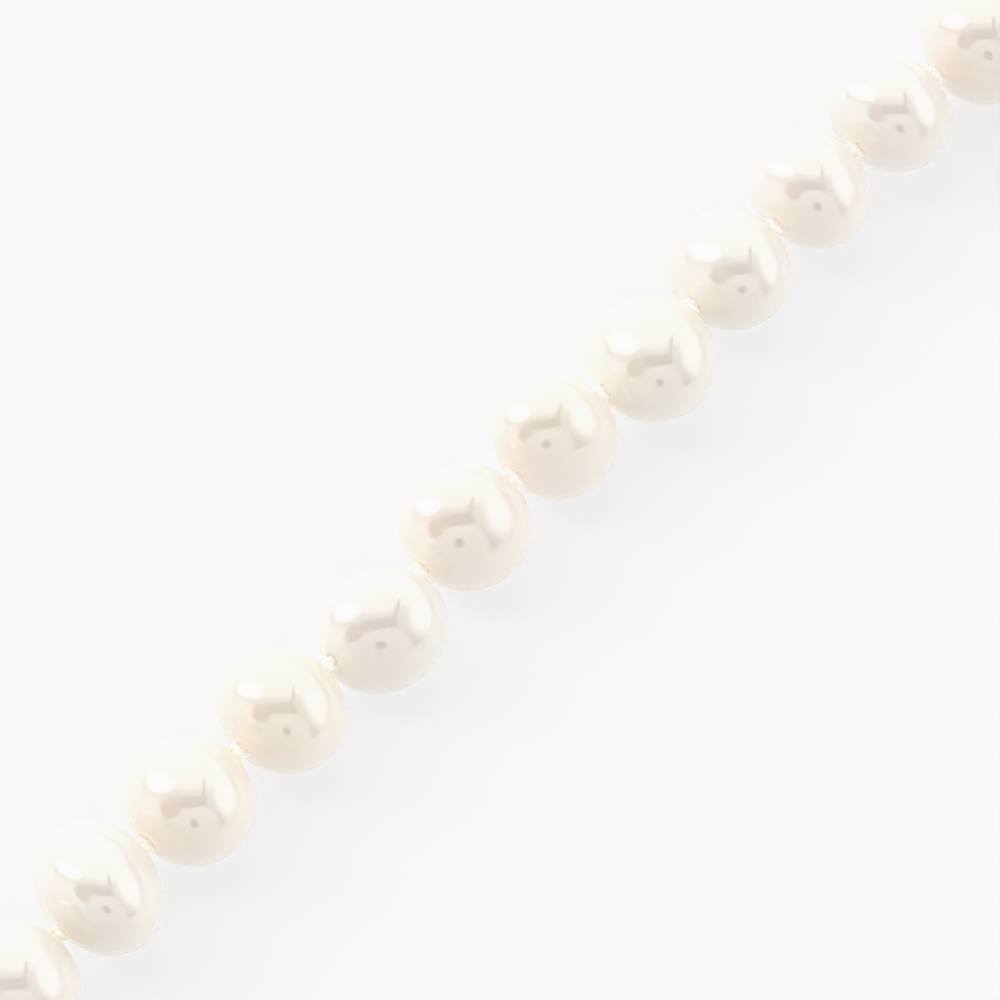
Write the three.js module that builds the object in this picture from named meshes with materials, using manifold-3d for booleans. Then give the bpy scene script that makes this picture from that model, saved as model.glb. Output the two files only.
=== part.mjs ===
// Pearl bracelet: near-round freshwater pearls on a knotted silk thread, closed by a plain
// barrel clasp, lying flat as one loop. Millimetres, +Z up, resting on z = 0. The straight side
// of the loop runs along +X and the rest of it comes round on the -Y side. The origin lies under
// the middle of the bracelet's box.

import * as THREE from 'three';
import { mergeVertices } from 'three/addons/utils/BufferGeometryUtils.js';
import Module from 'manifold-3d';

const wasm = await Module();
wasm.setup();

// ---------------------------------------------------------------- driving dimensions (mm)

// The pearls of the straight side, from its left end. across is the diameter square to the
// thread, along the length on the thread, and sideways how far the pearl sits to the +Y side of
// the thread, because its hole is drilled off centre.
const frontPearls = [
  { across: 5.40, along: 4.95, sideways: 0.00 },
  { across: 5.70, along: 4.70, sideways: 0.15 },
  { across: 5.45, along: 5.20, sideways: 0.10 },
  { across: 5.65, along: 4.95, sideways: 0.00 },
  { across: 5.20, along: 5.35, sideways: -0.50 },
  { across: 5.45, along: 5.45, sideways: 0.05 },
  { across: 5.25, along: 5.10, sideways: 0.10 },
  { across: 5.55, along: 5.30, sideways: -0.35 },
  { across: 5.35, along: 4.95, sideways: 0.15 },
  { across: 5.60, along: 4.85, sideways: 0.30 },
  { across: 5.65, along: 4.85, sideways: 0.30 },
  { across: 5.35, along: 4.80, sideways: -0.30 },
];

// The other pearls vary about the same mean, in two slow waves along the string.
const backPearls = { count: 21, across: 5.45, along: 5.05, acrossWave: 0.18, alongWave: 0.15 };
const pearlsBeforeClasp = 10;      // back pearls between the right end of the front and the clasp

const outline = { frontRadius: 1300, frontLength: 61.5, cornerRadius: 8.2 };

const thread = { diameter: 0.44, height: 2.72, sides: 6 };
const knot = { room: 0.42, thickness: 0.26, diameter: 0.92, sides: 6, rings: 4 };
const drill = { diameter: 0.80, sides: 6 };
const pearlFacets = { around: 12, rings: 8 };

const clasp = {
  length: 9.0,
  bodyLength: 6.4,
  bodyDiameter: 4.6,
  shoulder: 1.3,           // radius of the rounded shoulders at both ends of the body
  collarDiameter: 2.0,
  grooveWidth: 0.3,
  grooveDepth: 0.2,
  socketDepth: 1.1,
  sides: 16,
  shoulderSteps: 3,
};

// ---------------------------------------------------------------- loop outline

// A closed oval of four arcs that all turn to the right: the slightly bowed front, a tight
// corner, the wide back and the second corner. The back's sweep sets its radius, because the
// corners have to meet the front at both ends.
function ovalArcs(backSweep) {
  const frontSweep = outline.frontLength / outline.frontRadius;
  const cornerSweep = (2 * Math.PI - frontSweep - backSweep) / 2;
  const reach = (outline.frontRadius - outline.cornerRadius) * Math.sin(frontSweep / 2);
  const backRadius = outline.cornerRadius + reach / Math.sin(backSweep / 2);
  return [
    { radius: outline.frontRadius, sweep: frontSweep / 2 },
    { radius: outline.cornerRadius, sweep: cornerSweep },
    { radius: backRadius, sweep: backSweep },
    { radius: outline.cornerRadius, sweep: cornerSweep },
    { radius: outline.frontRadius, sweep: frontSweep / 2 },
  ];
}

function perimeter(arcs) {
  return arcs.reduce((sum, arc) => sum + arc.radius * arc.sweep, 0);
}

// The point at a distance round the oval, counted from the middle of the front.
function pointOnOval(arcs, distance) {
  const total = perimeter(arcs);
  let left = ((distance % total) + total) % total;
  let heading = 0;
  const point = new THREE.Vector2(0, 0);
  for (const { radius, sweep } of arcs) {
    const turn = Math.min(left / radius, sweep);
    point.x += radius * (Math.sin(heading) - Math.sin(heading - turn));
    point.y += radius * (Math.cos(heading - turn) - Math.cos(heading));
    heading -= turn;
    left -= turn * radius;
    if (turn < sweep) break;
  }
  return point;
}

// Walks the links round the oval with straight steps and returns the knot between each two.
function placeKnots(arcs, links, start) {
  const knots = [pointOnOval(arcs, start)];
  let distance = start;
  for (const link of links) {
    const last = knots[knots.length - 1];
    let next = distance + link;
    for (let step = 0; step < 12; step += 1) {
      next += link - pointOnOval(arcs, next).distanceTo(last);
    }
    distance = next;
    knots.push(pointOnOval(arcs, distance));
  }
  return { knots, spare: start + perimeter(arcs) - distance };
}

// The back's sweep that closes the loop: a smaller sweep flattens the oval and shortens it.
function closeLoop(links, start) {
  let low = 1.8;
  let high = 3.1;
  for (let step = 0; step < 50; step += 1) {
    const middle = (low + high) / 2;
    if (placeKnots(ovalArcs(middle), links, start).spare < 0) low = middle;
    else high = middle;
  }
  return placeKnots(ovalArcs(high), links, start).knots;
}

// ---------------------------------------------------------------- solids

function toSolid(geometry) {
  const bare = new THREE.BufferGeometry();
  bare.setAttribute('position', geometry.getAttribute('position'));
  bare.setIndex(geometry.getIndex());
  const merged = mergeVertices(bare, 1e-5);
  return new wasm.Manifold(new wasm.Mesh({
    numProp: 3,
    vertProperties: new Float32Array(merged.getAttribute('position').array),
    triVerts: new Uint32Array(merged.getIndex().array),
  }));
}

function toGeometry(solid) {
  const mesh = solid.getMesh();
  const geometry = new THREE.BufferGeometry();
  geometry.setAttribute('position', new THREE.BufferAttribute(mesh.vertProperties, 3));
  geometry.setIndex(new THREE.BufferAttribute(mesh.triVerts, 1));
  geometry.computeVertexNormals();
  return geometry;
}

// A sphere with its poles on X, stretched to the given length and width.
function spheroid(length, width, around, rings) {
  const geometry = new THREE.SphereGeometry(0.5, around, rings);
  geometry.rotateZ(Math.PI / 2);
  geometry.scale(length, width, width);
  return geometry;
}

// A cylinder along X.
function rod(diameter, length, sides) {
  const geometry = new THREE.CylinderGeometry(diameter / 2, diameter / 2, length, sides);
  geometry.rotateZ(Math.PI / 2);
  return geometry;
}

// One pearl in its own frame: X along the thread, centred on its body, drilled through.
function pearlGeometry({ across, along, sideways }) {
  const body = toSolid(spheroid(along, across, pearlFacets.around, pearlFacets.rings));
  const bore = rod(drill.diameter, along * 1.2, drill.sides);
  bore.translate(0, -sideways, thread.height - across / 2);
  return toGeometry(body.subtract(toSolid(bore)));
}

// The silk: a straight run through each pearl, a flattened knot in each gap, and two ends that
// stop inside the clasp's sockets.
function threadGeometry(knots, claspIndex) {
  const pieces = [];
  const place = (geometry, from, to, share) => {
    geometry.rotateZ(Math.atan2(to.y - from.y, to.x - from.x));
    const at = from.clone().lerp(to, share);
    geometry.translate(at.x, at.y, thread.height);
    pieces.push(toSolid(geometry));
  };
  const count = knots.length - 1;
  for (let i = 0; i < count; i += 1) {
    const from = knots[i];
    const to = knots[i + 1];
    const length = from.distanceTo(to);
    if (i === claspIndex) {
      const end = knot.room / 2 + clasp.socketDepth * 0.8;
      place(rod(thread.diameter, end, thread.sides), from, to, end / 2 / length);
      place(rod(thread.diameter, end, thread.sides), from, to, 1 - end / 2 / length);
    } else {
      place(rod(thread.diameter, length, thread.sides), from, to, 0.5);
    }
    const before = knots[(i + count - 1) % count];
    const bulge = spheroid(knot.thickness, knot.diameter, knot.sides, knot.rings);
    bulge.rotateZ(Math.atan2(to.y - before.y, to.x - before.x));
    bulge.translate(from.x, from.y, thread.height);
    pieces.push(toSolid(bulge));
  }
  return toGeometry(wasm.Manifold.union(pieces));
}

// A barrel with rounded shoulders, a fine seam groove round its middle, a collar at each end and
// a blind socket in each collar for the silk.
function claspGeometry() {
  const half = clasp.length / 2;
  const halfBody = clasp.bodyLength / 2;
  const radius = clasp.bodyDiameter / 2;
  const collar = clasp.collarDiameter / 2;
  const socket = drill.diameter / 2;
  const right = [
    new THREE.Vector2(radius - clasp.grooveDepth, clasp.grooveWidth / 2),
    new THREE.Vector2(radius, clasp.grooveWidth / 2),
  ];
  for (let i = 0; i <= clasp.shoulderSteps; i += 1) {
    const angle = (i / clasp.shoulderSteps) * (Math.PI / 2);
    right.push(new THREE.Vector2(
      radius - clasp.shoulder * (1 - Math.cos(angle)),
      halfBody - clasp.shoulder * (1 - Math.sin(angle)),
    ));
  }
  right.push(
    new THREE.Vector2(collar, halfBody + 0.1),
    new THREE.Vector2(collar, half),
    new THREE.Vector2(socket, half),
    new THREE.Vector2(socket, half - clasp.socketDepth),
    new THREE.Vector2(0, half - clasp.socketDepth),
  );
  const left = right.map((point) => new THREE.Vector2(point.x, -point.y)).reverse();
  const geometry = new THREE.LatheGeometry([...left, ...right], clasp.sides);
  geometry.rotateZ(-Math.PI / 2);
  return geometry;
}

// ---------------------------------------------------------------- materials

const nacre = new THREE.MeshStandardMaterial({ color: 0xf5efe4, roughness: 0.25, metalness: 0 });
const silk = new THREE.MeshStandardMaterial({ color: 0xf6f2ea, roughness: 0.6, metalness: 0 });
const silver = new THREE.MeshStandardMaterial({ color: 0xd4d3d0, roughness: 0.2, metalness: 1 });

// ---------------------------------------------------------------- assembly

function backPearl(index) {
  return {
    across: backPearls.across + backPearls.acrossWave * Math.sin(2.4 * index),
    along: backPearls.along + backPearls.alongWave * Math.sin(1.7 * index + 1),
    sideways: 0,
  };
}

const pearls = [...frontPearls];
for (let i = 0; i < backPearls.count; i += 1) pearls.push(backPearl(i));
const claspIndex = frontPearls.length + pearlsBeforeClasp;

const links = pearls.map((pearl) => pearl.along + knot.room);
links.splice(claspIndex, 0, clasp.length + knot.room);
const frontRow = links.slice(0, frontPearls.length).reduce((sum, link) => sum + link, 0);
const knots = closeLoop(links, -frontRow / 2);

const bracelet = new THREE.Group();

function addPiece(name, geometry, material, link, sideways, height) {
  const from = knots[link];
  const to = knots[link + 1];
  const mesh = new THREE.Mesh(geometry, material);
  const heading = Math.atan2(to.y - from.y, to.x - from.x);
  mesh.name = name;
  mesh.rotation.z = heading;
  mesh.position.set(
    (from.x + to.x) / 2 - sideways * Math.sin(heading),
    (from.y + to.y) / 2 + sideways * Math.cos(heading),
    height,
  );
  bracelet.add(mesh);
}

pearls.forEach((pearl, i) => {
  const link = i < claspIndex ? i : i + 1;
  const name = `pearl_${String(i + 1).padStart(2, '0')}`;
  addPiece(name, pearlGeometry(pearl), nacre, link, pearl.sideways, pearl.across / 2);
});
addPiece('clasp', claspGeometry(), silver, claspIndex, 0, thread.height);

const silkThread = new THREE.Mesh(threadGeometry(knots, claspIndex), silk);
silkThread.name = 'silk_thread';
bracelet.add(silkThread);

const box = new THREE.Box3().setFromObject(bracelet, true);
bracelet.position.set(-(box.min.x + box.max.x) / 2, -(box.min.y + box.max.y) / 2, 0);

export default bracelet;
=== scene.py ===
import math

import bpy
import numpy as np
from mathutils import Matrix, Vector


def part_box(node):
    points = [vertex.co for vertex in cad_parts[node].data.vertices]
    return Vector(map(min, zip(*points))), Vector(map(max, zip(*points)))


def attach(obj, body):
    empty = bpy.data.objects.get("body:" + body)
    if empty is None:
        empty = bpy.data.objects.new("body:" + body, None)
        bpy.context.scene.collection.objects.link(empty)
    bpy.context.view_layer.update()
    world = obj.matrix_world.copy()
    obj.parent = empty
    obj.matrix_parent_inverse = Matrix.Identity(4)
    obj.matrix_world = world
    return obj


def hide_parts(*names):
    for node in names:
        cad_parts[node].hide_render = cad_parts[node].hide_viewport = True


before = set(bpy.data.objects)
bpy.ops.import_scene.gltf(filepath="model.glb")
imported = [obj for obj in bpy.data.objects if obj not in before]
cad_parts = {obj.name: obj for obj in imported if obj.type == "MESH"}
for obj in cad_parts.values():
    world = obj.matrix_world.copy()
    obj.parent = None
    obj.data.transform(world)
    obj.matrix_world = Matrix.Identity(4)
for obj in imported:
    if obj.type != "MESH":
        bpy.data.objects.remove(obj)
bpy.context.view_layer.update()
mm = 0.001
pearlNames = sorted(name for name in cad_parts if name.startswith("pearl_"))
print("frame loaded:", len(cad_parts), "pieces,", len(pearlNames), "pearls")


def hexToLinear(code):
    # sRGB hex to linear RGBA: the straight toe below 0.04045, and the 2.4 power above it
    srgb = np.array([int(code[i:i + 2], 16) for i in (1, 3, 5)]) / 255
    linear = np.where(srgb <= 0.04045, srgb / 12.92, ((srgb + 0.055) / 1.055) ** 2.4)
    return (*linear.tolist(), 1.0)


def addNode(tree, kind, inputs=None, **settings):
    # an input is a plain value, or a pair (node, output) that is linked from
    node = tree.nodes.new(kind)
    for name, value in settings.items():
        setattr(node, name, value)
    for name, value in (inputs or {}).items():
        if isinstance(value, tuple) and isinstance(value[0], bpy.types.Node):
            tree.links.new(value[0].outputs[value[1]], node.inputs[name])
        else:
            node.inputs[name].default_value = value
    return node


def newMaterial(name):
    material = bpy.data.materials.new(name)
    material.use_nodes = True
    material.node_tree.nodes.clear()
    return material, material.node_tree


def meshFromGrids(name, grids, capped=False, smooth=True):
    # Each grid is an array (rows, columns, 3). Its columns close on themselves. Its rows close too,
    # or else the first and last rows are each capped by one flat face.
    points, quads, caps, start = [], [], [], 0
    for grid in grids:
        rows, columns = grid.shape[:2]
        index = np.arange(rows * columns).reshape(rows, columns)
        right = np.roll(index, -1, axis=1)
        down, corner = np.roll(index, -1, axis=0), np.roll(right, -1, axis=0)
        quad = np.stack([index, right, corner, down], axis=-1)
        quad = (quad[:-1] if capped else quad).reshape(-1, 4)
        flat = grid.reshape(-1, 3)
        a, b, c, d = (flat[quad[:, i]] - flat.mean(axis=0) for i in range(4))
        outward = (np.cross(b, c) * a).sum() + (np.cross(c, d) * a).sum() > 0
        quads.append(start + (quad if outward else quad[:, ::-1]))
        if capped:
            ends = np.stack([index[0, ::-1], index[-1]])
            caps.append(start + (ends if outward else ends[:, ::-1]))
        points.append(flat)
        start += rows * columns
    points, quads = np.concatenate(points), np.concatenate(quads)
    caps = np.concatenate(caps) if capped else np.zeros((0, 3), int)
    corners = np.concatenate([quads.ravel(), caps.ravel()])
    sizes = np.concatenate([np.full(len(quads), 4), np.full(len(caps), caps.shape[1])])
    mesh = bpy.data.meshes.new(name)
    mesh.vertices.add(len(points))
    mesh.vertices.foreach_set("co", points.astype(np.float32).ravel())
    mesh.loops.add(len(corners))
    mesh.loops.foreach_set("vertex_index", corners.astype(np.int32))
    mesh.polygons.add(len(sizes))
    mesh.polygons.foreach_set("loop_start", (np.cumsum(sizes) - sizes).astype(np.int32))
    mesh.update(calc_edges=True)
    mesh.validate()
    if smooth:
        mesh.shade_smooth()
    return mesh


def addPiece(name, mesh, material, slot, *nodes):
    piece = bpy.data.objects.new(name, mesh)
    bpy.context.scene.collection.objects.link(piece)
    mesh.materials.append(material)
    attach(piece, "root")
    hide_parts(*nodes)
    return piece


stringLook = {
    "knotRise": 0.30 * mm,      # the knots' tops stand further than this above the thread's line
    "knotSpace": 1.2 * mm,      # radius in which one knot's top vertices lie
    "claspToKnot": 4.7 * mm,    # from the clasp's middle to the middle of the knot beside it
}


def readString():
    # The string as it lies: the links in their order, and the middle of the knot in each gap. The
    # knots are the thread's highest places, so its top vertices are read gap by gap.
    order = list(pearlNames)
    boxes = {name: np.array(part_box(name)) for name in [*order, "clasp", "silk_thread"]}
    middle = {name: box.mean(axis=0) for name, box in boxes.items()}
    gaps = np.array([
        np.linalg.norm(middle[b] - middle[a]) for a, b in zip(order, order[1:] + order[:1])])
    order.insert(int(gaps.argmax()) + 1, "clasp")
    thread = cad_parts["silk_thread"].data
    vertices = np.empty(len(thread.vertices) * 3)
    thread.vertices.foreach_get("co", vertices)
    vertices = vertices.reshape(-1, 3)
    height = middle["silk_thread"][2]
    top = vertices[vertices[:, 2] > height + stringLook["knotRise"]][:, :2]
    knots = []
    for before, after in zip(order[-1:] + order[:-1], order):
        toAfter = middle[after] - middle[before]
        span = np.linalg.norm(toAfter)
        share = 0.5
        if "clasp" in (before, after):
            halfClasp = stringLook["claspToKnot"] / span
            share = halfClasp if before == "clasp" else 1 - halfClasp
        guess = (middle[before] + toAfter * share)[:2]
        near = top[np.linalg.norm(top - guess, axis=1) < stringLook["knotSpace"]]
        knots.append([*(near.min(axis=0) + near.max(axis=0)) / 2, height])
    return order, boxes, np.array(knots)


order, boxes, knots = readString()
claspIndex = order.index("clasp")
print("string read:", len(order), "links,", len(knots), "knots")

cameraLook = {
    "elevation": 60.0,          # degrees above the surface
    "turn": -48.55,             # degrees that the straight side stands off the camera's right
    "distance": 269.6 * mm,
    "lens": 234.0,              # mm, on a 36 mm sensor
    "target": (-0.84, -0.07, 0.0),   # mm from the middle of the straight side's pearls
}
azimuth = math.radians(cameraLook["turn"])
elevation = math.radians(cameraLook["elevation"])
toCamera = Vector((
    math.sin(azimuth) * math.cos(elevation),
    -math.cos(azimuth) * math.cos(elevation),
    math.sin(elevation)))
cameraRight = Vector((math.cos(azimuth), math.sin(azimuth), 0.0))
cameraUp = toCamera.cross(cameraRight)


def makeCamera():
    front = np.array([boxes[name].mean(axis=0) for name in order[:12]])
    target = Vector(front.mean(axis=0)) + Vector(cameraLook["target"]) * mm
    data = bpy.data.cameras.new("camera")
    data.lens = cameraLook["lens"]
    data.sensor_width = 36.0
    data.clip_start, data.clip_end = 0.01, 10.0
    camera = bpy.data.objects.new("camera", data)
    bpy.context.scene.collection.objects.link(camera)
    camera.location = target + toCamera * cameraLook["distance"]
    camera.rotation_mode = "QUATERNION"
    camera.rotation_quaternion = toCamera.to_track_quat("Z", "Y")
    bpy.context.scene.camera = camera


makeCamera()
print("camera set")

pearlShape = {
    "around": 80,
    "rings": 64,
    "boreRings": 4,
    "boreRadius": 0.29 * mm,    # a drill of 0.6 mm
    "lip": 0.04 * mm,           # the drill rounds the mouth a little
    "wallToLip": 0.15 * mm,     # how far inside the mouth the straight bore starts
    "facetLoss": 1.02,          # the drilled CAD ball is this much shorter than its full length
    "roundest": 0.85,           # a pearl is at least this long for its width
    "waves": 6,                 # waves in each kind of unevenness
    # unevenness as a share of the radius, and its slowest and fastest wave in radians per radius
    "lumps": (0.030, 1.6, 3.6),
    "ripple": (0.0035, 9, 15),  # finer, and it frays the reflections' edges
    # height of each pearl of the straight side as a share of its width: most lie on a flatter
    # side. The hidden pearls go through the same list again.
    "flatness": [0.95, 0.985, 0.95, 0.90, 0.90, 0.95, 1.0, 0.91, 0.92, 0.90, 0.92, 1.0],
    # slope of the upper front face, to the right and to the back: no pearl is quite round there
    "slope": [(-0.03, -0.08), (-0.05, -0.29), (0.03, -0.10), (-0.05, 0.01), (0.03, 0.31),
              (-0.08, 0.12), (-0.17, 0.30), (0.10, -0.06), (0.16, -0.05), (-0.04, -0.12),
              (-0.01, -0.18), (0.00, 0.00)],
}


def pearlSurface(name, heading, seed):
    # A flattened ball as rings from mouth to mouth: unit direction (-cos p, sin p cos t, sin p
    # sin t), where p goes from mouth to mouth and t goes round. Near each mouth the direction is
    # moved by cos(p)^4 onto the bore's axis, then stretched to half length, half width and half
    # height. The hole may sit off centre, and the bore closes the grid inside.
    s = pearlShape
    low, high = boxes[name]
    link = order.index(name)
    wide = (high[2] - low[2]) / 2
    tall = wide * s["flatness"][link % len(s["flatness"])]
    span = np.hypot(*(high - low)[:2]) / 2
    long = math.sqrt(max(span ** 2 - wide ** 2, (s["roundest"] * wide) ** 2)) * s["facetLoss"]
    centre = np.array([*(low + high)[:2] / 2, low[2] + tall])
    size = np.array([long, wide, tall])
    bore = (knots[link] + knots[(link + 1) % len(knots)]) / 2 - centre
    left = np.array([-math.sin(heading), math.cos(heading), 0.0])
    offset = np.array([bore @ left, bore[2]])
    mouthAt = np.array([0, *offset]) / size
    mouthAt[0] = math.sqrt(1 - mouthAt @ mouthAt)
    mouth = math.asin((s["boreRadius"] + s["lip"]) / wide)
    polar = np.linspace(mouth, math.pi - mouth, s["rings"])[:, None]
    turn = np.linspace(0, 2 * math.pi, s["around"], endpoint=False)[None, :]
    ring = np.sin(polar) + 0 * turn
    unit = np.stack([-np.cos(polar) + 0 * turn, ring * np.cos(turn), ring * np.sin(turn)], axis=-1)
    side = -np.sign(np.cos(polar))[..., None]
    slide = (np.cos(polar) ** 4)[..., None]
    unit = unit + slide * np.concatenate([side * (mouthAt[0] - 1), side * 0 + mouthAt[1],
                                          side * 0 + mouthAt[2]], axis=-1)
    unit /= np.linalg.norm(unit, axis=-1, keepdims=True)
    # unevenness: a few waves across the ball, each pearl with its own directions
    random = np.random.RandomState(seed)
    grow = np.zeros(unit.shape[:2])
    for share, slowest, fastest in (s["lumps"], s["ripple"]):
        for wave in range(s["waves"]):
            direction = random.normal(size=3)
            direction *= random.uniform(slowest, fastest) / np.linalg.norm(direction)
            phase = random.uniform(0, 2 * math.pi)
            grow += np.sin(unit @ direction + phase) * share / s["waves"]
    # the front face's slope: (u . face) * (u . slope), which leaves the outline as it was
    turned = np.array(Matrix.Rotation(heading, 3, "Z"))
    right, back = s["slope"][link % len(s["slope"])]
    slope = turned.T @ np.array(cameraRight * right + cameraUp * back)
    grow += (unit @ (turned.T @ np.array(toCamera))) * (unit @ slope)
    outer = unit * size * (1 + grow[..., None])
    outer[..., 0] *= long / np.abs(outer[..., 0]).max()
    lowest, highest = outer[..., 2].min(), outer[..., 2].max()
    outer[..., 2] = (outer[..., 2] - lowest) * 2 * tall / (highest - lowest) - tall
    innerX = np.linspace(1, -1, s["boreRings"])[:, None] * (long * mouthAt[0] - s["wallToLip"])
    radius = s["boreRadius"]
    inner = np.stack([
        innerX + 0 * turn,
        radius * np.cos(turn) + offset[0] + 0 * innerX,
        radius * np.sin(turn) + offset[1] + 0 * innerX], axis=-1)
    return np.concatenate([outer, inner]) @ turned.T + centre


nacreLook = {
    # body colour of each pearl of the straight side; the hidden ones go through it again
    "bodies": ["#F1ECE4", "#F0EDE3", "#F4ECE0", "#F4ECDE", "#EEEBE5", "#F5EAE0", "#F4ECE0",
               "#EFEDE1", "#F0EDE4", "#F4EEE7", "#F1EEE7", "#F5EADF"],
    "rose": "#F3E3DC",
    "cream": "#EDEBDD",
    "orient": 0.25,             # how far rose and cream go into the body colour
    "patch": 3.0 * mm,          # size of the rose and cream areas
    "depth": 2.0 * mm,          # how deep light wanders before it comes out
    "grain": 0.45 * mm,         # fine unevenness of the polish, and its height
    "grainHeight": 0.003 * mm,
    "leak": "#FFEEDC",          # colour of a painted glow at the drill holes, standing in for light through the neighbouring pearls
    "paintedGlowStrength": 0.12,
    "paintedGlowReach": 0.46,          # reach of the painted glow, in radians round the bore's axis
    "edgeGloss": 0.25,          # gloss left at the outline, where the plates' edges scatter light
}


def makeNacre():
    # Nacre, grown and tumble-polished: thin aragonite plates over a milky body. It gives a soft
    # glow under a sharp reflection, with faint rose and cream where the plates change thickness.
    look = nacreLook
    material, tree = newMaterial("polished_nacre")
    where = addNode(tree, "ShaderNodeTexCoord")
    body = addNode(tree, "ShaderNodeAttribute", attribute_name="bodyColour")
    orient = addNode(tree, "ShaderNodeTexNoise", {
        "Vector": (where, "Object"), "Scale": 1 / look["patch"], "Detail": 1.5})
    hue = addNode(tree, "ShaderNodeMix", {
        0: (orient, "Fac"), 6: hexToLinear(look["rose"]), 7: hexToLinear(look["cream"])},
        data_type="RGBA")
    colour = addNode(tree, "ShaderNodeMix", {
        0: look["orient"], 6: (body, "Color"), 7: (hue, 2)}, data_type="RGBA")
    # painted glow round the drill holes: the nacre emits light there, for light through the
    # neighbouring pearls
    leak = addNode(tree, "ShaderNodeAttribute", attribute_name="leak")
    paintedGlowLevel = addNode(tree, "ShaderNodeMath", {0: (leak, "Fac"), 1: look["paintedGlowStrength"]},
                      operation="MULTIPLY")
    grain = addNode(tree, "ShaderNodeTexNoise", {
        "Vector": (where, "Object"), "Scale": 1 / look["grain"], "Detail": 2.0})
    bump = addNode(tree, "ShaderNodeBump", {
        "Height": (grain, "Fac"), "Strength": 1.0, "Distance": look["grainHeight"]})
    edge = addNode(tree, "ShaderNodeLayerWeight", {"Blend": 0.5})
    coat = addNode(tree, "ShaderNodeMapRange", {
        "Value": (edge, "Facing"), "From Min": 0.62, "From Max": 0.95, "To Min": 1.0,
        "To Max": look["edgeGloss"]})
    shader = addNode(tree, "ShaderNodeBsdfPrincipled", {
        "Base Color": (colour, 2),
        "Roughness": 0.15,
        "IOR": 1.6,
        "Specular IOR Level": 0.35,
        "Normal": (bump, "Normal"),
        "Subsurface Weight": 0.5,
        "Subsurface Radius": (1.0, 0.85, 0.7),
        "Subsurface Scale": look["depth"],
        "Coat Weight": (coat, "Result"),
        "Coat Roughness": 0.02,
        "Coat IOR": 2.18,           # the stacked plates reflect more than one face would
        "Coat Normal": (bump, "Normal"),
        # emission: the painted glow round the drill holes
        "Emission Color": hexToLinear(look["leak"]),
        "Emission Strength": (paintedGlowLevel, "Value"),
    })
    addNode(tree, "ShaderNodeOutputMaterial", {"Surface": (shader, "BSDF")})
    material.cycles.emission_sampling = "NONE"      # too faint to be worth aiming light rays at
    return material


def headingOf(link):
    step = knots[(link + 1) % len(knots)] - knots[link]
    return math.atan2(step[1], step[0])


def paintedGlowOf(grid, link):
    # strength of the painted glow: 1 at the drill holes and inside the bore, falling off as
    # exp(-(angle / reach)^2), where the angle is seen from the pearl's middle
    ends = knots[[link, (link + 1) % len(knots)]]
    middle = ends.mean(axis=0)
    axis = (ends[1] - ends[0]) / np.linalg.norm(ends[1] - ends[0])
    toPoint = grid - middle
    cosine = np.abs(toPoint @ axis) / np.linalg.norm(toPoint, axis=-1)
    angle = np.arccos(np.clip(cosine, 0, 1))
    angle[pearlShape["rings"]:] = 0
    return np.exp(-(angle / nacreLook["paintedGlowReach"]) ** 2)


def makePearls():
    nacre = makeNacre()
    for link, name in enumerate(order):
        if name == "clasp":
            continue
        grid = pearlSurface(name, headingOf(link), link + 3)
        mesh = meshFromGrids(name + "_mesh", [grid])
        body = hexToLinear(nacreLook["bodies"][link % len(nacreLook["bodies"])])
        attribute = mesh.attributes.new("bodyColour", "FLOAT_COLOR", "POINT")
        attribute.data.foreach_set("color", np.tile(body, len(mesh.vertices)).astype(np.float32))
        # the painted glow's strength at each vertex, read by the nacre's emission
        leak = mesh.attributes.new("leak", "FLOAT", "POINT")
        leak.data.foreach_set("value", paintedGlowOf(grid, link).astype(np.float32).ravel())
        addPiece("nacre_" + name, mesh, nacre, "pearl", name)


makePearls()
print("pearls made")

silkLook = {
    "radius": 0.20 * mm,        # the thread
    "pitch": 1.1 * mm,          # one full turn of its two plies
    "step": 0.12 * mm,
    "columns": 12,
    "plyDepth": 0.16,           # depth of the groove between the plies, as a share of the radius
    "knotReach": 0.46 * mm,     # outer radius of a knot
    "knotThread": 0.15 * mm,    # radius of the thread in it, pulled tight
    "knotFlat": 0.07 * mm,      # half the distance between its crossing threads
    "knotRows": 84,
    "knotColumns": 10,
    "knotTurn": 2.1,            # radians that each knot is turned on from the last one
    "socket": 3.5 * mm,         # where the ends stop, from the clasp's middle
    "paintedGlowStrength": 0.20,       # painted glow: the silk emits light, for light that reaches it through the pearls
    "shade": "#F4F0E8",         # painted shade between the fibres, where their bump is low
    "bright": "#FFFEFB",        # on the raised fibres
    "fibre": 0.05 * mm,         # a bundle of fibres, coarser than a single one so that it shows
    "fibreHeight": 0.01 * mm,
}


def threadSurface():
    # A tube along the knots' route, from one end of the clasp round to the other. Its radius is
    # radius * (1 - depth + depth * |cos(turn - pi * length / pitch)|), which gives two plies.
    s = silkLook
    count = len(knots)
    middle = (knots[claspIndex] + knots[(claspIndex + 1) % count]) / 2
    route = np.array([knots[(claspIndex + 1 + i) % count] for i in range(count)])
    start = middle + (route[0] - middle) / np.linalg.norm(route[0] - middle) * s["socket"]
    end = middle + (route[-1] - middle) / np.linalg.norm(route[-1] - middle) * s["socket"]
    route = np.concatenate([[start], route, [end]])
    length = np.concatenate([[0], np.cumsum(np.linalg.norm(np.diff(route, axis=0), axis=1))])
    along = np.linspace(0, length[-1], int(length[-1] / s["step"]))
    line = np.stack([np.interp(along, length, route[:, axis]) for axis in range(3)], axis=-1)
    forward = np.gradient(line, axis=0)
    forward /= np.linalg.norm(forward, axis=1, keepdims=True)
    up = np.array([0.0, 0.0, 1.0])
    side = np.cross(up, forward)
    turn = np.linspace(0, 2 * math.pi, s["columns"], endpoint=False)[None, :]
    ply = np.abs(np.cos(turn - math.pi * along[:, None] / s["pitch"]))
    radius = s["radius"] * (1 - s["plyDepth"] + s["plyDepth"] * ply)
    return (line[:, None] + (radius * np.cos(turn))[..., None] * side[:, None]
            + (radius * np.sin(turn))[..., None] * up)


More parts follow.
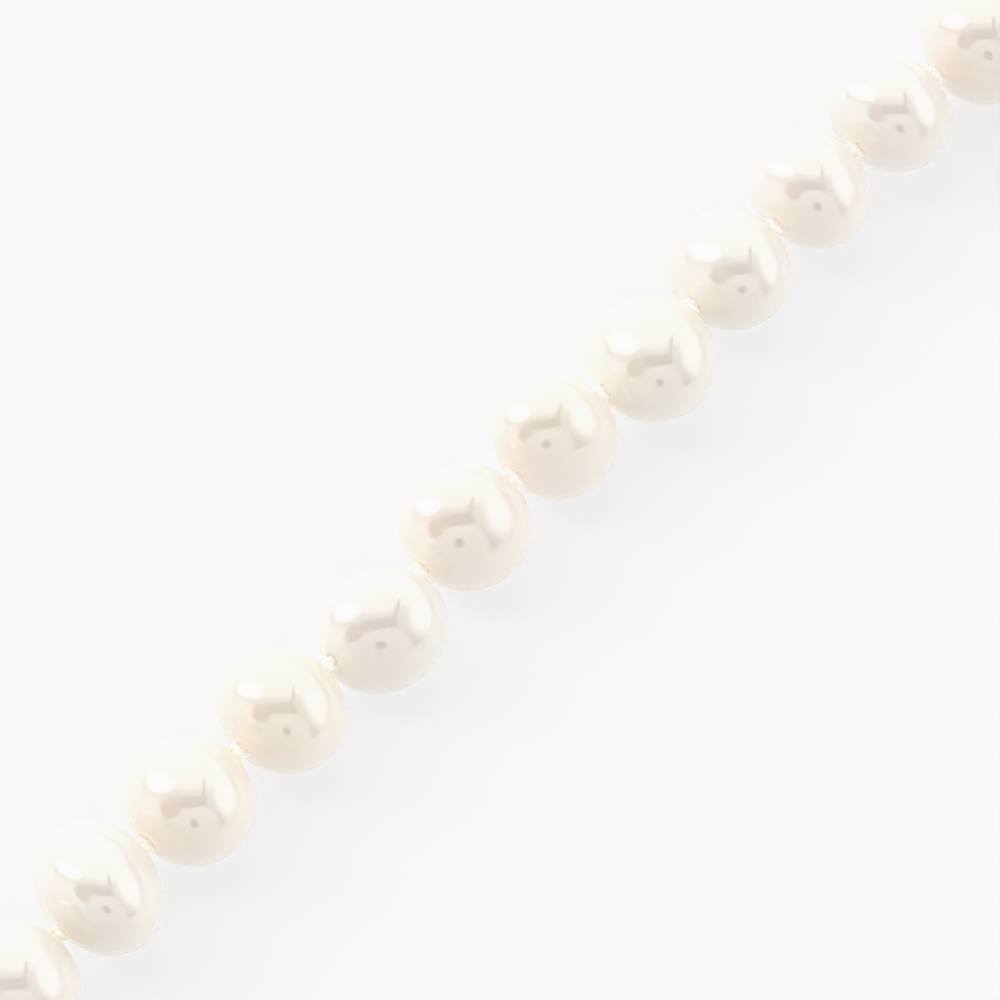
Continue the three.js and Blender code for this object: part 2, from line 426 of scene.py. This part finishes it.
def knotSurface(link):
    # An overhand knot pulled tight: a tube along (-flat * sin 3u, size * (sin u + 2 sin 2u),
    # size * (cos u - 2 cos 2u)), whose first axis is the thread's.
    s = silkLook
    u = np.linspace(0, 2 * math.pi, s["knotRows"], endpoint=False)[:, None]
    v = np.linspace(0, 2 * math.pi, s["knotColumns"], endpoint=False)[None, :, None]
    size = (s["knotReach"] - s["knotThread"]) / 3
    line = np.concatenate([-s["knotFlat"] * np.sin(3 * u), size * (np.sin(u) + 2 * np.sin(2 * u)),
                           size * (np.cos(u) - 2 * np.cos(2 * u))], axis=1)
    forward = np.roll(line, -1, axis=0) - np.roll(line, 1, axis=0)
    forward /= np.linalg.norm(forward, axis=1, keepdims=True)
    first = np.array([1.0, 0, 0]) - forward * forward[:, :1]
    first /= np.linalg.norm(first, axis=1, keepdims=True)
    second = np.cross(forward, first)
    tube = line[:, None] + s["knotThread"] * (
        np.cos(v) * first[:, None] + np.sin(v) * second[:, None])
    before, after = knots[link - 1], knots[(link + 1) % len(knots)]
    heading = math.atan2(*(after - before)[1::-1])
    spin = Matrix.Rotation(heading, 3, "Z") @ Matrix.Rotation(link * s["knotTurn"], 3, "X")
    return tube @ np.array(spin).T + knots[link]


def makeSilk():
    # Bleached silk cord, two plies. Its fibres give a soft sheen and no sharp highlight.
    material, tree = newMaterial("white_silk")
    where = addNode(tree, "ShaderNodeTexCoord")
    fibre = addNode(tree, "ShaderNodeTexNoise", {
        "Vector": (where, "Object"), "Scale": 1 / silkLook["fibre"], "Detail": 3.0})
    # colour follows the fibre bump: darker where it is low, a painted shade between the fibres
    tone = addNode(tree, "ShaderNodeMix", {
        0: (fibre, "Fac"), 6: hexToLinear(silkLook["shade"]), 7: hexToLinear(silkLook["bright"])},
        data_type="RGBA")
    bump = addNode(tree, "ShaderNodeBump", {
        "Height": (fibre, "Fac"), "Strength": 1.0, "Distance": silkLook["fibreHeight"]})
    shader = addNode(tree, "ShaderNodeBsdfPrincipled", {
        "Base Color": (tone, 2),
        "Roughness": 0.45,
        "IOR": 1.54,
        "Normal": (bump, "Normal"),
        "Sheen Weight": 0.3,
        "Sheen Roughness": 0.4,
        # a painted glow: the silk emits light, standing in for light that reaches it through the
        # pearls
        "Emission Color": hexToLinear(nacreLook["leak"]),
        "Emission Strength": silkLook["paintedGlowStrength"],
    })
    addNode(tree, "ShaderNodeOutputMaterial", {"Surface": (shader, "BSDF")})
    material.cycles.emission_sampling = "NONE"
    addPiece("silk_cord", meshFromGrids("silk_cord_mesh", [threadSurface()], capped=True),
             material, "silk", "silk_thread")
    tied = [knotSurface(link) for link in range(len(knots))]
    addPiece("silk_knots", meshFromGrids("silk_knots_mesh", tied), material, "silk", "silk_thread")


makeSilk()
print("silk made")

claspShape = {
    "half": 4.5 * mm,
    "halfBody": 3.2 * mm,
    "radius": 2.3 * mm,
    "shoulder": 1.3 * mm,
    "collar": 1.0 * mm,
    "socket": 0.4 * mm,
    "socketDepth": 1.1 * mm,
    "groove": 0.15 * mm,        # half width of the seam, and its depth
    "knurl": (1.0 * mm, 1.9 * mm),   # the ribbed band on one half, from the middle
    "ribs": 40,
    "ribDepth": 0.05 * mm,
    "edge": 0.04 * mm,          # rounding of its edges
    "shoulderRows": 14,
    "ribRows": 8,
    "columns": 240,
    "silver": "#F4F1EA",
    "scratch": 0.8 * mm,        # spacing of the wear, and its depth
    "scratchDepth": 0.002 * mm,
}


def claspSurface():
    # A profile of (along, radius) turned round the thread's line: half of it is listed from the
    # seam to the socket's bottom, and the other half is its mirror image. In the ribbed band the
    # radius is less by depth * sin(ribs * turn / 2)^2.
    s = claspShape
    mid = s["radius"] - s["groove"]
    bend = np.linspace(0, math.pi / 2, s["shoulderRows"])
    ribs = np.linspace(*s["knurl"], s["ribRows"])
    edge = s["edge"]
    profile = np.array([
        (0.02 * mm, mid), (s["groove"] * 0.7, mid), (s["groove"], mid + edge),
        (s["groove"], s["radius"] - edge), (s["groove"] + edge, s["radius"]),
        (0.5 * mm, s["radius"]),
        *[(x, s["radius"]) for x in ribs],
        *[(s["halfBody"] - s["shoulder"] * (1 - math.sin(t)),
           s["radius"] - s["shoulder"] * (1 - math.cos(t))) for t in bend],
        (s["halfBody"], s["collar"] + edge), (s["halfBody"] + edge, s["collar"]),
        (s["half"] - 2 * edge, s["collar"]), (s["half"] - edge / 2, s["collar"] - edge / 2),
        (s["half"], s["collar"] - 2 * edge), (s["half"], s["socket"] + edge),
        (s["half"] - edge, s["socket"]), (s["half"] - s["socketDepth"], s["socket"])])
    x = np.concatenate([-profile[::-1, 0], profile[:, 0]])[:, None]
    radius = np.concatenate([profile[::-1, 1], profile[:, 1]])[:, None]
    turn = np.linspace(0, 2 * math.pi, s["columns"], endpoint=False)[None, :]
    inBand = (x > s["knurl"][0] + edge) & (x < s["knurl"][1] - edge)
    radius = radius - inBand * s["ribDepth"] * np.sin(s["ribs"] * turn / 2) ** 2
    grid = np.stack([x + 0 * turn, radius * np.cos(turn), radius * np.sin(turn)], axis=-1)
    turned = np.array(Matrix.Rotation(headingOf(claspIndex), 3, "Z"))
    low, high = boxes["clasp"]
    return grid @ turned.T + (low + high) / 2


def makeClasp():
    # Polished sterling silver with the fine random scratches of wear.
    material, tree = newMaterial("sterling_silver")
    where = addNode(tree, "ShaderNodeTexCoord")
    stretched = addNode(tree, "ShaderNodeMapping", {
        "Vector": (where, "Object"), "Scale": (1.0, 6.0, 2.0)})
    wear = addNode(tree, "ShaderNodeTexNoise", {
        "Vector": (stretched, "Vector"), "Scale": 1 / claspShape["scratch"], "Detail": 5.0})
    gloss = addNode(tree, "ShaderNodeMapRange", {
        "Value": (wear, "Fac"), "From Min": 0.3, "From Max": 0.7, "To Min": 0.12, "To Max": 0.26})
    bump = addNode(tree, "ShaderNodeBump", {
        "Height": (wear, "Fac"), "Strength": 1.0, "Distance": claspShape["scratchDepth"]})
    shader = addNode(tree, "ShaderNodeBsdfPrincipled", {
        "Base Color": hexToLinear(claspShape["silver"]),
        "Metallic": 1.0,
        "Roughness": (gloss, "Result"),
        "Normal": (bump, "Normal"),
    })
    addNode(tree, "ShaderNodeOutputMaterial", {"Surface": (shader, "BSDF")})
    mesh = meshFromGrids("barrel_clasp_mesh", [claspSurface()], capped=True)
    addPiece("barrel_clasp", mesh, material, "silver", "clasp")


makeClasp()
print("clasp made")

studio = {
    "power": 0.86,
    "base": 0.54,               # the tent's walls, seen at the pearls' rims
    "panels": [
        # Each panel as it shows on a mirror ball seen from the camera: middle (right, up), half
        # sizes, turn in degrees, softness of the edge, brightness; the square ones have straight
        # edges, and a tint other than white is given. Later ones cover earlier ones.
        {"at": (0.02, -0.05), "half": (0.70, 0.66), "turn": 0, "soft": 0.7, "light": 0.74},
        {"at": (0.69, -0.36), "half": (0.30, 0.46), "turn": 0, "soft": 0.8, "light": 0.36},
        {"at": (-0.58, -0.27), "half": (0.28, 0.40), "turn": 15, "soft": 0.7, "light": 1.35},
        {"at": (-0.12, 0.56), "half": (0.60, 0.30), "turn": 0, "soft": 0.25, "light": 1.46},
        {"at": (-0.48, 0.31), "half": (0.17, 0.125), "turn": 0, "soft": 0.9, "light": 4.0},
        {"at": (0.52, 0.17), "half": (0.155, 0.33), "turn": 14, "soft": 1.15, "light": 2.1},
        {"at": (0.06, -0.30), "half": (0.34, 0.31), "turn": 0, "soft": 0.15, "light": 1.12},
        {"at": (-0.02, 0.085), "half": (0.23, 0.085), "turn": 8, "soft": 0.12, "light": 0.0,
         "square": True},
        {"at": (-0.34, -0.04), "half": (0.12, 0.16), "turn": -20, "soft": 0.2, "light": 0.45,
         "tint": "#FFA06C"},
        {"at": (0.18, 0.30), "half": (0.03, 0.15), "turn": -8, "soft": 0.5, "light": 0.1},
        {"at": (0.02, -0.27), "half": (0.07, 0.07), "turn": 0, "soft": 0.2, "light": 0.0},
    ],
}


def makeWorld():
    # The room as a dome. Each panel is placed by the half vector between a ray's direction and
    # the camera's, which is where it shows on a mirror ball.
    world = bpy.data.worlds.new("studio_dome")
    bpy.context.scene.world = world
    world.use_nodes = True
    tree = world.node_tree
    tree.nodes.clear()
    ray = addNode(tree, "ShaderNodeTexCoord")
    half = addNode(tree, "ShaderNodeVectorMath", {0: (ray, "Generated"), 1: toCamera},
                   operation="ADD")
    half = addNode(tree, "ShaderNodeVectorMath", {0: (half, "Vector")}, operation="NORMALIZE")
    across = addNode(tree, "ShaderNodeVectorMath", {0: (half, "Vector"), 1: cameraRight},
                     operation="DOT_PRODUCT")
    up = addNode(tree, "ShaderNodeVectorMath", {0: (half, "Vector"), 1: cameraUp},
                 operation="DOT_PRODUCT")
    place = addNode(tree, "ShaderNodeCombineXYZ", {"X": (across, "Value"), "Y": (up, "Value")})
    level = addNode(tree, "ShaderNodeCombineXYZ", {axis: studio["base"] for axis in "XYZ"})
    level = (level, "Vector")
    for panel in studio["panels"]:
        (x, y), (a, b) = panel["at"], panel["half"]
        local = addNode(tree, "ShaderNodeMapping", {
            "Vector": (place, "Vector"), "Location": (x, y, 0.0), "Scale": (a, b, 1.0),
            "Rotation": (0.0, 0.0, math.radians(panel["turn"]))}, vector_type="TEXTURE")
        far = addNode(tree, "ShaderNodeVectorMath", {0: (local, "Vector")}, operation="LENGTH")
        if panel.get("square"):
            split = addNode(tree, "ShaderNodeSeparateXYZ", {"Vector": (local, "Vector")})
            right = addNode(tree, "ShaderNodeMath", {0: (split, "X")}, operation="ABSOLUTE")
            high = addNode(tree, "ShaderNodeMath", {0: (split, "Y")}, operation="ABSOLUTE")
            far = addNode(tree, "ShaderNodeMath", {0: (right, "Value"), 1: (high, "Value")},
                          operation="MAXIMUM")
        share = addNode(tree, "ShaderNodeMapRange", {
            "Value": (far, "Value"), "From Min": 1 - panel["soft"] / 2,
            "From Max": 1 + panel["soft"] / 2, "To Min": 1.0, "To Max": 0.0},
            interpolation_type="SMOOTHSTEP")
        light = Vector(hexToLinear(panel.get("tint", "#FFFFFF"))[:3]) * panel["light"]
        mixed = addNode(tree, "ShaderNodeMix", {
            0: (share, "Result"), 4: level, 5: light}, data_type="VECTOR")
        level = (mixed, 1)
    background = addNode(tree, "ShaderNodeBackground", {"Color": level, "Strength": studio["power"]})
    addNode(tree, "ShaderNodeOutputWorld", {"Surface": (background, "Background")})


floorLook = {
    "half": 3.0,                # metres
    "sheet": "#ACABAA",
    "glow": "#F9FBFF",
    "strength": 0.555,
}


def makeFloor():
    # White acrylic, polished and lit through. It gives an even paper white with faint shadows.
    half = floorLook["half"]
    corners = [(-half, -half, 0), (half, -half, 0), (half, half, 0), (-half, half, 0)]
    mesh = bpy.data.meshes.new("floor_mesh")
    mesh.from_pydata(corners, [], [(0, 1, 2, 3)])
    floor = bpy.data.objects.new("floor", mesh)
    bpy.context.scene.collection.objects.link(floor)
    material, tree = newMaterial("backlit_acrylic_floor")
    shader = addNode(tree, "ShaderNodeBsdfPrincipled", {
        "Base Color": hexToLinear(floorLook["sheet"]),
        "Roughness": 0.6,
        "Specular IOR Level": 0.3,
        "Emission Color": hexToLinear(floorLook["glow"]),
        "Emission Strength": floorLook["strength"],
    })
    addNode(tree, "ShaderNodeOutputMaterial", {"Surface": (shader, "BSDF")})
    mesh.materials.append(material)


makeWorld()
makeFloor()

toneCurve = {
    # paper white sits just under full white, and only reflections go above it
    "top": 2.0,                 # the brightest light that the curve tells apart
    "points": [(0.0, 0.0), (0.90, 0.90), (0.955, 0.944), (1.10, 0.951), (1.5, 0.985), (2.0, 1.0)],
}


def setTone():
    view = bpy.context.scene.view_settings
    view.view_transform = "Standard"
    view.use_curve_mapping = True
    mapping = view.curve_mapping
    mapping.white_level = (toneCurve["top"],) * 3
    curve = mapping.curves[3]
    inner = toneCurve["points"][1:-1]
    for light, shown in inner:
        curve.points.new(light / toneCurve["top"], shown)
    for point in curve.points:
        point.handle_type = "VECTOR"
    mapping.update()


setTone()
print("light and floor set")
